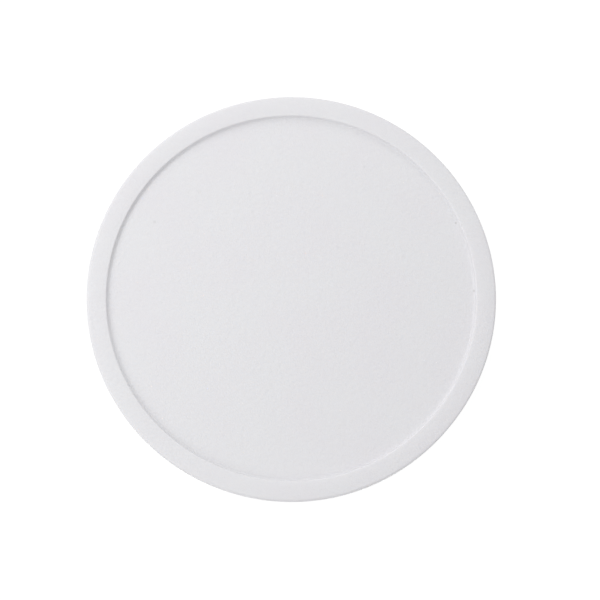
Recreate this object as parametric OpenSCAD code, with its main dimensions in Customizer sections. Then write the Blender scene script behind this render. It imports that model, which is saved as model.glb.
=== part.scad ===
// Round open-face mould of soft silicone, for casting a thin resin disc such as a coaster.
// The mould is one moulding that folds up across its middle when it is bent by hand.
// It is drawn as the two halves on either side of that fold, which meet along the Y axis.
// The origin is the centre of the underside, with +Z up out of the cavity.

/* [Cavity] */
// Diameter of the cavity at its mouth
cavity_d = 100; // [60:1:200]
// Depth of the cavity, which is the thickness of the cast disc
cavity_depth = 1.5; // [1:0.1:10]
// Lean of the cavity wall away from upright, in degrees
wall_draft = 12; // [0:0.5:20]
// Radius where the cavity wall runs into its floor
floor_fillet = 0.7; // [0.2:0.1:1.6]

/* [Rim] */
// Width of the rim around the mouth
rim_w = 5.3; // [3:0.1:15]
// Radius of the rim's outer edge
outer_edge_r = 0.6; // [0.2:0.1:1.5]
// Radius of the rim's inner edge, at the mouth
inner_edge_r = 0.3; // [0.1:0.05:0.5]

/* [Base] */
// Thickness of the silicone under the cavity floor
base_t = 3; // [2:0.5:10]
// Radius of the edge around the underside
foot_edge_r = 0.5; // [0.2:0.1:1]

/* [Hidden] */

// Steps around a half turn of the mould, and along each rounded edge
turn_steps = 180;
edge_steps = 8;
half_turn = 180;

mouth_r = cavity_d / 2;
outer_r = mouth_r + rim_w;
height = base_t + cavity_depth;

// Points along an arc about a centre, from one angle to another
function arc(centre, radius, from, to) =
    [for (i = [0:edge_steps])
        let (a = from + (to - from) * i / edge_steps)
        centre + radius * [cos(a), sin(a)]];

// Radius of the fillet, held back where a low wall has no room for the full one
wall_room = 0.9 * cavity_depth / (1 - sin(wall_draft));
fillet_r = min(floor_fillet, wall_room - inner_edge_r);

// Centre of the inner edge's round, which touches the rim's top and the leaning wall
inner_edge_c = [
    mouth_r + inner_edge_r * (1 - sin(wall_draft)) / cos(wall_draft),
    height - inner_edge_r
];

// Centre of the fillet, which touches the cavity floor and the leaning wall
fillet_c = [
    mouth_r - (fillet_r + (cavity_depth - fillet_r) * sin(wall_draft)) / cos(wall_draft),
    base_t + fillet_r
];

// Half of the mould's cross-section, from its axis out to the rim
module section() {
    foot = arc([outer_r - foot_edge_r, foot_edge_r], foot_edge_r, -90, 0);
    outer_edge = arc([outer_r - outer_edge_r, height - outer_edge_r], outer_edge_r, 0, 90);
    inner_edge = arc(inner_edge_c, inner_edge_r, 90, 180 - wall_draft);
    fillet = arc(fillet_c, fillet_r, -wall_draft, -90);
    polygon(concat([[0, 0]], foot, outer_edge, inner_edge, fillet, [[0, base_t]]));
}

// Half a turn of the section, starting at the given direction about +Z
module half_mould(start) {
    rotate([0, 0, start])
        rotate_extrude(angle = half_turn, $fn = 2 * turn_steps)
            section();
}

// Half on the -X side of the fold
module left_half() {
    color("whitesmoke") half_mould(90);
}

// Half on the +X side of the fold
module right_half() {
    color("white") half_mould(-90);
}

left_half();
right_half();
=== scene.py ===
"""A round white silicone mould for casting resin discs, lying empty on a white floor."""

import math

import bpy
from mathutils import Matrix, Vector


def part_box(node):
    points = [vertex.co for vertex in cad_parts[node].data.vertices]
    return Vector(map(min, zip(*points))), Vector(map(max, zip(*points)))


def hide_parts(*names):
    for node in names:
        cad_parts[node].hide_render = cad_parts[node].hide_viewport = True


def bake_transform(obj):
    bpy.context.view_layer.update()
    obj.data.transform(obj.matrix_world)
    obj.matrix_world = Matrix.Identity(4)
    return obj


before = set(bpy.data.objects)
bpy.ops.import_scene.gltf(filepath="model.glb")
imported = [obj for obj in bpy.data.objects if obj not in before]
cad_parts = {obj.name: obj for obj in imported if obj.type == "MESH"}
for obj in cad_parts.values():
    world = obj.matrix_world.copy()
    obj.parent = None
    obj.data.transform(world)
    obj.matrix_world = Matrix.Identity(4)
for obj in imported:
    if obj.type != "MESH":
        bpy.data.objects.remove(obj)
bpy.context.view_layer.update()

# Sizes of the mould, in metres
low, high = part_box("left_half")
OUTER_R = (high.y - low.y) / 2
HEIGHT = high.z - low.z
RIM_W = 0.0053
CAVITY_DEPTH = 0.0015
WALL_DRAFT = math.radians(12)
FLOOR_FILLET = 0.0007
INNER_EDGE_R = 0.0003
OUTER_EDGE_R = 0.0006
FOOT_EDGE_R = 0.0005

MOUTH_R = OUTER_R - RIM_W
FLOOR_Z = HEIGHT - CAVITY_DEPTH
RIM_MID_R = MOUTH_R + RIM_W / 2

# How far the soft moulding strays from its drawn shape
RIM_CROWN = 0.00018
RIM_WAVE_HEIGHT = 0.00006
OUTLINE_WAVE_HEIGHT = 0.00008

# Waves around the moulding, each as (waves to the turn, share of the height, phase)
RIM_WAVES = [(3, 0.6, 1.3), (7, 0.4, 0.4)]
OUTLINE_WAVES = [(2, 0.6, 0.7), (5, 0.4, 2.1)]

# Fineness of the mesh, where a square grid of cells has 8 edge points for each cell out from its centre
DISC_CELLS = 40
RING_STEPS = 8 * DISC_CELLS
EDGE_STEPS = 10
STRAIGHT_STEPS = 5

# Distance from a rounded edge to the row of points that keeps the surface beside it flat
HOLD = 0.0002

# Camera, as the photograph was taken: almost straight down, with the mould's -Y side nearest
CAMERA_DISTANCE = 0.6
CAMERA_TILT = math.radians(8.8)
CAMERA_TURN = math.radians(265)
CAMERA_AIM = (0.00232, -0.00112)
LENS_MM = 133.4
SENSOR_MM = 36.0

# Soft lamps, each as (degrees about +Z from +X, degrees above the floor, share of the light)
LAMPS = {
    "upper": (90, 30, 0.165),
    "upper_left": (135, 60, 0.165),
    "left": (180, 45, 0.16),
    "lower_left": (225, 30, 0.13),
}
LAMP_DISTANCE = 0.5
LAMP_SIZE = 0.3

# Surroundings, as they light the mould and as they are seen
SKY_STRENGTH = 0.607
BACKDROP_STRENGTH = 1.0

# Floor: its reach from the middle, its gap under the mould, its light as seen and as it falls on the mould
FLOOR_REACH = 4.0
FLOOR_GAP = 0.0002
FLOOR_GLOW = 0.88
FLOOR_BOUNCE = 0.6

# Colours
WHITE = (1.0, 1.0, 1.0, 1.0)
FLOOR_GREY = (0.2, 0.2, 0.2, 1.0)
SILICONE = (0.785, 0.783, 0.802, 1.0)
BLUSH = (0.783, 0.774, 0.798, 1.0)
# Dust grey, also used for the painted shade of two nicks in the wall
DUST_AND_SHADE_GREY = (0.36, 0.34, 0.33, 1.0)

# Light inside the silicone, and the shine on it
SUBSURFACE_SHARE = 0.3
SUBSURFACE_REACH = 0.001
SUBSURFACE_BY_COLOUR = (1.0, 0.95, 0.9)
SHINE = 0.4
ROUGHNESS = (0.54, 0.66)

# Noise in the surface, each as (features to the metre, levels of detail)
CLOUDS = (60, 6)
PITS = (900, 3)
GRAIN = (3200, 2)
SCUFF_PATCHES = (45, 2)

# Scuffs: their noise as (features to one scuff, levels of detail), a scuff's size, and its direction
SCUFFS = (1, 2)
SCUFF_SIZE = (0.0012, 0.03, 0.03)
SCUFF_TURN = math.radians(140)

# Stretch of each noise over which its effect grows from none to full
CLOUD_RANGE = (0.4, 0.65)
PIT_RANGE = (0.3, 0.7)
SCUFF_RANGE = (0.52, 0.7)
SCUFF_PATCH_RANGE = (0.45, 0.6)

# Relief: the depth of pits and scuffs against the grain, and what a scuff takes off the roughness
BUMP_STRENGTH = 0.6
BUMP_HEIGHT = 0.0001
PIT_DEPTH = 2.0
SCUFF_DEPTH = 0.5
SCUFF_POLISH = 0.12

# Faint dust at random places: cells to the metre, how dark, and where in a cell a speck fades out
DUST_CELLS = 120
DUST_DARKNESS = 0.12
DUST_EDGE = (0.010, 0.030)

# Share of a spot's radius that is at its darkest, and the height of the painted shade of the nicks in the
# wall
SPOT_CORE = 1 / 3
NICK_SHADE_Z = FLOOR_Z + 0.0003

# Larger specks of dust on the cavity's floor, and painted shade for two nicks low in its wall, as (place,
# radius, how dark)
DUST_AND_SHADE_SPOTS = [
    ((-0.0372, 0.0205, FLOOR_Z), 0.0006, 0.14),
    ((-0.0250, 0.0289, FLOOR_Z), 0.0008, 0.06),
    ((0.0126, 0.0135, FLOOR_Z), 0.0006, 0.08),
    ((0.0304, 0.0111, FLOOR_Z), 0.0008, 0.06),
    ((0.0199, 0.0360, FLOOR_Z), 0.0005, 0.09),
    # Painted shade: two dark spots low in the wall, standing for the shade in small nicks there
    ((0.0447, 0.0204, NICK_SHADE_Z), 0.0005, 0.60),
    ((0.0494, 0.0017, NICK_SHADE_Z), 0.0005, 0.40),
]


def arc(centre, radius, start, end):
    """Points along an arc in the plane of the section, as (radius, height)."""
    points = []
    for i in range(EDGE_STEPS + 1):
        a = start + (end - start) * i / EDGE_STEPS
        points.append((centre[0] + radius * math.cos(a), centre[1] + radius * math.sin(a)))
    return points


def between(start, end):
    """Points along a straight stretch without its ends, the outer two close to them."""
    half_step = 0.5 / STRAIGHT_STEPS
    hold = min(HOLD / math.dist(start, end), half_step)
    shares = [hold] + [i / STRAIGHT_STEPS for i in range(1, STRAIGHT_STEPS)] + [1 - hold]
    return [tuple(a + (b - a) * s for a, b in zip(start, end)) for s in sorted(shares)]


def up_wall(z):
    """Share of the way up the cavity's wall, which is 0 from its floor down."""
    return max(0.0, (z - FLOOR_Z) / CAVITY_DEPTH)


def crowned(point):
    """Lowers the rim's two edges a little against its middle."""
    r, z = point
    off_middle = (r - RIM_MID_R) / (RIM_W / 2)
    return r, z - RIM_CROWN * off_middle ** 2 * up_wall(z)


def section():
    """Outline from the edge of the cavity's floor, over the rim, to the edge of the underside."""
    quarter = math.pi / 2
    lean = (1 - math.sin(WALL_DRAFT)) / math.cos(WALL_DRAFT)
    inner_c = (MOUTH_R + INNER_EDGE_R * lean, HEIGHT - INNER_EDGE_R)
    reach = FLOOR_FILLET + (CAVITY_DEPTH - FLOOR_FILLET) * math.sin(WALL_DRAFT)
    fillet_c = (MOUTH_R - reach / math.cos(WALL_DRAFT), FLOOR_Z + FLOOR_FILLET)
    outer_c = (OUTER_R - OUTER_EDGE_R, HEIGHT - OUTER_EDGE_R)
    foot_c = (OUTER_R - FOOT_EDGE_R, FOOT_EDGE_R)
    fillet = arc(fillet_c, FLOOR_FILLET, -quarter, -WALL_DRAFT)
    inner = arc(inner_c, INNER_EDGE_R, 2 * quarter - WALL_DRAFT, quarter)
    outer = arc(outer_c, OUTER_EDGE_R, quarter, 0)
    foot = arc(foot_c, FOOT_EDGE_R, 0, -quarter)
    upper = fillet + between(fillet[-1], inner[0]) + inner + between(inner[-1], outer[0]) + outer
    rim = [crowned(p) for p in upper]
    hold_in = (fillet[0][0] - HOLD, FLOOR_Z)
    hold_under = (foot[-1][0] - HOLD, 0.0)
    return [hold_in] + rim + between(outer[-1], foot[0]) + foot + [hold_under]


def wave(parts, turn):
    """Sum of waves in this direction from the centre, between -1 and 1."""
    return sum(share * math.sin(count * turn + phase) for count, share, phase in parts)


def settled(x, y, z):
    """A point with the slight waves of a soft moulding: in its outline, and in the height of its rim."""
    r = math.hypot(x, y)
    turn = math.atan2(y, x)
    out = 1 + OUTLINE_WAVE_HEIGHT / OUTER_R * wave(OUTLINE_WAVES, turn)
    near_rim = max(0.0, min(1.0, (r - MOUTH_R + RIM_W) / RIM_W))
    lift = RIM_WAVE_HEIGHT * (wave(RIM_WAVES, turn) - 1)
    return x * out, y * out, z + lift * near_rim * up_wall(z)


def disc_place(i, j):
    """Where a point of a square grid goes when the square is rounded into a disc of radius 1."""
    ring = max(abs(i), abs(j))
    if ring == 0:
        return 0.0, 0.0
    if abs(i) >= abs(j):
        angle = math.pi / 4 * j / i + (math.pi if i < 0 else 0)
    else:
        angle = math.pi / 2 - math.pi / 4 * i / j + (math.pi if j < 0 else 0)
    return ring / DISC_CELLS * math.cos(angle), ring / DISC_CELLS * math.sin(angle)


def add_disc(points, faces, radius, z, faces_up):
    """Adds an even grid of quads that fills a circle, and returns the points of its edge in order."""
    first = len(points)
    side = range(-DISC_CELLS, DISC_CELLS + 1)
    width = len(side)
    edge = [None] * RING_STEPS
    for j in side:
        for i in side:
            x, y = disc_place(i, j)
            if max(abs(i), abs(j)) == DISC_CELLS:
                turn = math.atan2(y, x) / (2 * math.pi)
                edge[round(turn * RING_STEPS) % RING_STEPS] = len(points)
            points.append((x * radius, y * radius, z))
    for row in range(width - 1):
        for column in range(width - 1):
            a = first + row * width + column
            quad = (a, a + 1, a + 1 + width, a + width)
            faces.append(quad if faces_up else quad[::-1])
    return edge


def add_ring(points, radius, z):
    """Adds a circle of points and returns them in order."""
    first = len(points)
    for step in range(RING_STEPS):
        a = 2 * math.pi * step / RING_STEPS
        points.append((radius * math.cos(a), radius * math.sin(a), z))
    return list(range(first, first + RING_STEPS))


def mould_mesh():
    """The whole moulding as one closed skin of quads."""
    points = []
    faces = []
    start, *middle, end = section()
    rings = [add_disc(points, faces, *start, faces_up=True)]
    rings += [add_ring(points, r, z) for r, z in middle]
    rings.append(add_disc(points, faces, *end, faces_up=False))
    for inner, outer in zip(rings, rings[1:]):
        for s in range(RING_STEPS):
            t = (s + 1) % RING_STEPS
            faces.append((inner[s], outer[s], outer[t], inner[t]))
    points = [settled(*p) for p in points]
    mesh = bpy.data.meshes.new("mould_body")
    mesh.from_pydata(points, [], faces)
    rest = mesh.attributes.new("rest", "FLOAT_VECTOR", "POINT")
    rest.data.foreach_set("vector", [value for p in points for value in p])
    mesh.shade_smooth()
    mesh.validate()
    return mesh


def node(tree, kind, **inputs):
    """A new node of this kind, with values set on the inputs named."""
    made = tree.nodes.new("ShaderNode" + kind)
    for name, value in inputs.items():
        made.inputs[name.replace("_", " ")].default_value = value
    return made


def math_node(tree, operation, first, second):
    """The result of an operation on two outputs, or on an output and a number."""
    made = node(tree, "Math")
    made.operation = operation
    tree.links.new(first, made.inputs[0])
    if isinstance(second, (int, float)):
        made.inputs[1].default_value = second
    else:
        tree.links.new(second, made.inputs[1])
    return made.outputs[0]


def spread(tree, value, given, wanted=(0, 1)):
    """An output whose given range is mapped onto the wanted one and held within it."""
    made = node(tree, "MapRange", From_Min=given[0], From_Max=given[1], To_Min=wanted[0], To_Max=wanted[1])
    tree.links.new(value, made.inputs["Value"])
    return made.outputs["Result"]


def noise(tree, place, scale, detail):
    """Noise with about this many features to each unit of the place."""
    made = node(tree, "TexNoise", Scale=scale, Detail=detail)
    tree.links.new(place, made.inputs["Vector"])
    return made.outputs["Fac"]


def tinted(tree, share, first, second):
    """A colour between two, which are outputs or plain colours."""
    made = node(tree, "Mix")
    made.data_type = "RGBA"
    tree.links.new(share, made.inputs["Factor"])
    for name, colour in (("A", first), ("B", second)):
        socket = next(s for s in made.inputs if s.name == name and s.type == "RGBA")
        if isinstance(colour, tuple):
            socket.default_value = colour
        else:
            tree.links.new(colour, socket)
    return next(s for s in made.outputs if s.type == "RGBA")


def dust_and_shade_specks(tree, rest):
    """How far dust, and the painted shade of two nicks in the wall, darken each place."""
    dust = node(tree, "TexVoronoi", Scale=DUST_CELLS)
    tree.links.new(rest, dust.inputs["Vector"])
    specks = spread(tree, dust.outputs["Distance"], DUST_EDGE, (DUST_DARKNESS, 0))
    for centre, radius, darkness in DUST_AND_SHADE_SPOTS:
        away = node(tree, "VectorMath")
        away.operation = "DISTANCE"
        tree.links.new(rest, away.inputs[0])
        away.inputs[1].default_value = centre
        spot = spread(tree, away.outputs["Value"], (radius * SPOT_CORE, radius), (darkness, 0))
        specks = math_node(tree, "MAXIMUM", specks, spot)
    return specks


def rim_scuffs(tree, rest):
    """Patches of fine scuffs in one direction, on the rim only."""
    brushed = node(tree, "Mapping", Rotation=(0, 0, SCUFF_TURN), Scale=SCUFF_SIZE)
    brushed.vector_type = "TEXTURE"
    tree.links.new(rest, brushed.inputs["Vector"])
    hairs = spread(tree, noise(tree, brushed.outputs["Vector"], *SCUFFS), SCUFF_RANGE)
    patches = spread(tree, noise(tree, rest, *SCUFF_PATCHES), SCUFF_PATCH_RANGE)
    height = node(tree, "SeparateXYZ")
    tree.links.new(rest, height.inputs[0])
    on_rim = spread(tree, height.outputs["Z"], (FLOOR_Z + CAVITY_DEPTH / 2, HEIGHT))
    return math_node(tree, "MULTIPLY", math_node(tree, "MULTIPLY", hairs, patches), on_rim)


def silicone_material():
    """Matt white silicone with a fine grain, faint clouding, a little dust, painted shade for two nicks in
    the wall, and some scuffs.
    """
    material = bpy.data.materials.new("silicone")
    material.use_nodes = True
    tree = material.node_tree
    link = tree.links.new
    shader = tree.nodes["Principled BSDF"]
    shader.inputs["Subsurface Weight"].default_value = SUBSURFACE_SHARE
    shader.inputs["Subsurface Radius"].default_value = SUBSURFACE_BY_COLOUR
    shader.inputs["Subsurface Scale"].default_value = SUBSURFACE_REACH
    shader.inputs["Specular IOR Level"].default_value = SHINE
    place = node(tree, "Attribute")
    place.attribute_name = "rest"
    rest = place.outputs["Vector"]

    clouds = spread(tree, noise(tree, rest, *CLOUDS), CLOUD_RANGE)
    clouded = tinted(tree, clouds, SILICONE, BLUSH)
    # Dust specks and the painted shade of the nicks darken the base colour
    dust_and_shade_colour = tinted(tree, dust_and_shade_specks(tree, rest), clouded, DUST_AND_SHADE_GREY)
    link(dust_and_shade_colour, shader.inputs["Base Color"])

    pits = noise(tree, rest, *PITS)
    scuffs = rim_scuffs(tree, rest)
    dull = spread(tree, pits, PIT_RANGE, ROUGHNESS)
    rubbed = math_node(tree, "MULTIPLY", scuffs, SCUFF_POLISH)
    link(math_node(tree, "SUBTRACT", dull, rubbed), shader.inputs["Roughness"])

    grain = noise(tree, rest, *GRAIN)
    texture = math_node(tree, "ADD", math_node(tree, "MULTIPLY", pits, PIT_DEPTH), grain)
    relief = math_node(tree, "SUBTRACT", texture, math_node(tree, "MULTIPLY", scuffs, SCUFF_DEPTH))
    bump = node(tree, "Bump", Strength=BUMP_STRENGTH, Distance=BUMP_HEIGHT)
    link(relief, bump.inputs["Height"])
    link(bump.outputs["Normal"], shader.inputs["Normal"])
    return material


def seen_directly(tree):
    """1 for rays that carry the picture: from the camera, mirrored or let through."""
    path = node(tree, "LightPath")
    direct = math_node(tree, "MAXIMUM", path.outputs["Is Camera Ray"], path.outputs["Is Glossy Ray"])
    return math_node(tree, "MAXIMUM", direct, path.outputs["Is Transmission Ray"])


def floor_material():
    """White floor that lights the mould's side from below and keeps its shadow."""
    material = bpy.data.materials.new("floor")
    material.use_nodes = True
    tree = material.node_tree
    tree.nodes.clear()
    link = tree.links.new
    diffuse = node(tree, "BsdfDiffuse", Color=FLOOR_GREY)
    glow = node(tree, "Emission", Color=WHITE)
    both = node(tree, "AddShader")
    out = node(tree, "OutputMaterial")
    link(spread(tree, seen_directly(tree), (0, 1), (FLOOR_BOUNCE, FLOOR_GLOW)), glow.inputs["Strength"])
    link(diffuse.outputs[0], both.inputs[0])
    link(glow.outputs[0], both.inputs[1])
    link(both.outputs[0], out.inputs["Surface"])
    return material


def add_floor():
    """A wide floor just under the mould."""
    corners = [(x * FLOOR_REACH, y * FLOOR_REACH, 0) for x, y in ((-1, -1), (1, -1), (1, 1), (-1, 1))]
    mesh = bpy.data.meshes.new("floor")
    mesh.from_pydata(corners, [], [(0, 1, 2, 3)])
    mesh.materials.append(floor_material())
    floor = bpy.data.objects.new("floor", mesh)
    floor.location.z = -FLOOR_GAP
    bpy.context.scene.collection.objects.link(floor)


def add_world():
    """Even surroundings that look white."""
    world = bpy.data.worlds.new("surroundings")
    world.use_nodes = True
    bpy.context.scene.world = world
    tree = world.node_tree
    link = tree.links.new
    sky = tree.nodes["Background"]
    sky.inputs["Color"].default_value = WHITE
    sky.inputs["Strength"].default_value = SKY_STRENGTH
    backdrop = node(tree, "Background", Color=WHITE, Strength=BACKDROP_STRENGTH)
    either = node(tree, "MixShader")
    link(seen_directly(tree), either.inputs["Fac"])
    link(sky.outputs[0], either.inputs[1])
    link(backdrop.outputs[0], either.inputs[2])
    link(either.outputs[0], tree.nodes["World Output"].inputs["Surface"])


def add_lamp(name, turn, rise, share):
    """A soft round lamp that shines on the mould; a share of 1 lights a facing surface fully."""
    turn, rise = math.radians(turn), math.radians(rise)
    flat = math.cos(rise)
    towards = Vector((flat * math.cos(turn), flat * math.sin(turn), math.sin(rise)))
    light = bpy.data.lights.new(name, "AREA")
    light.shape = "DISK"
    light.size = LAMP_SIZE
    light.energy = share * math.pi ** 2 * LAMP_DISTANCE ** 2
    lamp = bpy.data.objects.new(name, light)
    lamp.location = towards * LAMP_DISTANCE
    lamp.rotation_euler = (-towards).to_track_quat("-Z", "Y").to_euler()
    bpy.context.scene.collection.objects.link(lamp)


def add_camera():
    """A camera that looks down at the mould, with +Y up the picture."""
    data = bpy.data.cameras.new("camera")
    data.lens = LENS_MM
    data.sensor_width = SENSOR_MM
    camera = bpy.data.objects.new("camera", data)
    bpy.context.scene.collection.objects.link(camera)
    bpy.context.scene.camera = camera
    lean = math.sin(CAMERA_TILT)
    back = Vector((lean * math.cos(CAMERA_TURN), lean * math.sin(CAMERA_TURN), math.cos(CAMERA_TILT)))
    ahead = Vector((0, 1, 0))
    up = (ahead - back * ahead.dot(back)).normalized()
    right = up.cross(back)
    camera.location = Vector((*CAMERA_AIM, HEIGHT)) + back * CAMERA_DISTANCE
    camera.rotation_euler = Matrix((right, up, back)).transposed().to_euler()


mould = bpy.data.objects.new("mould_body", mould_mesh())
mould.data.materials.append(silicone_material())
bpy.context.scene.collection.objects.link(mould)
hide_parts("left_half", "right_half")
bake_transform(mould)

add_floor()
add_world()
for lamp_name, setting in LAMPS.items():
    add_lamp(lamp_name, *setting)
add_camera()
bpy.context.scene.view_settings.view_transform = "Standard"
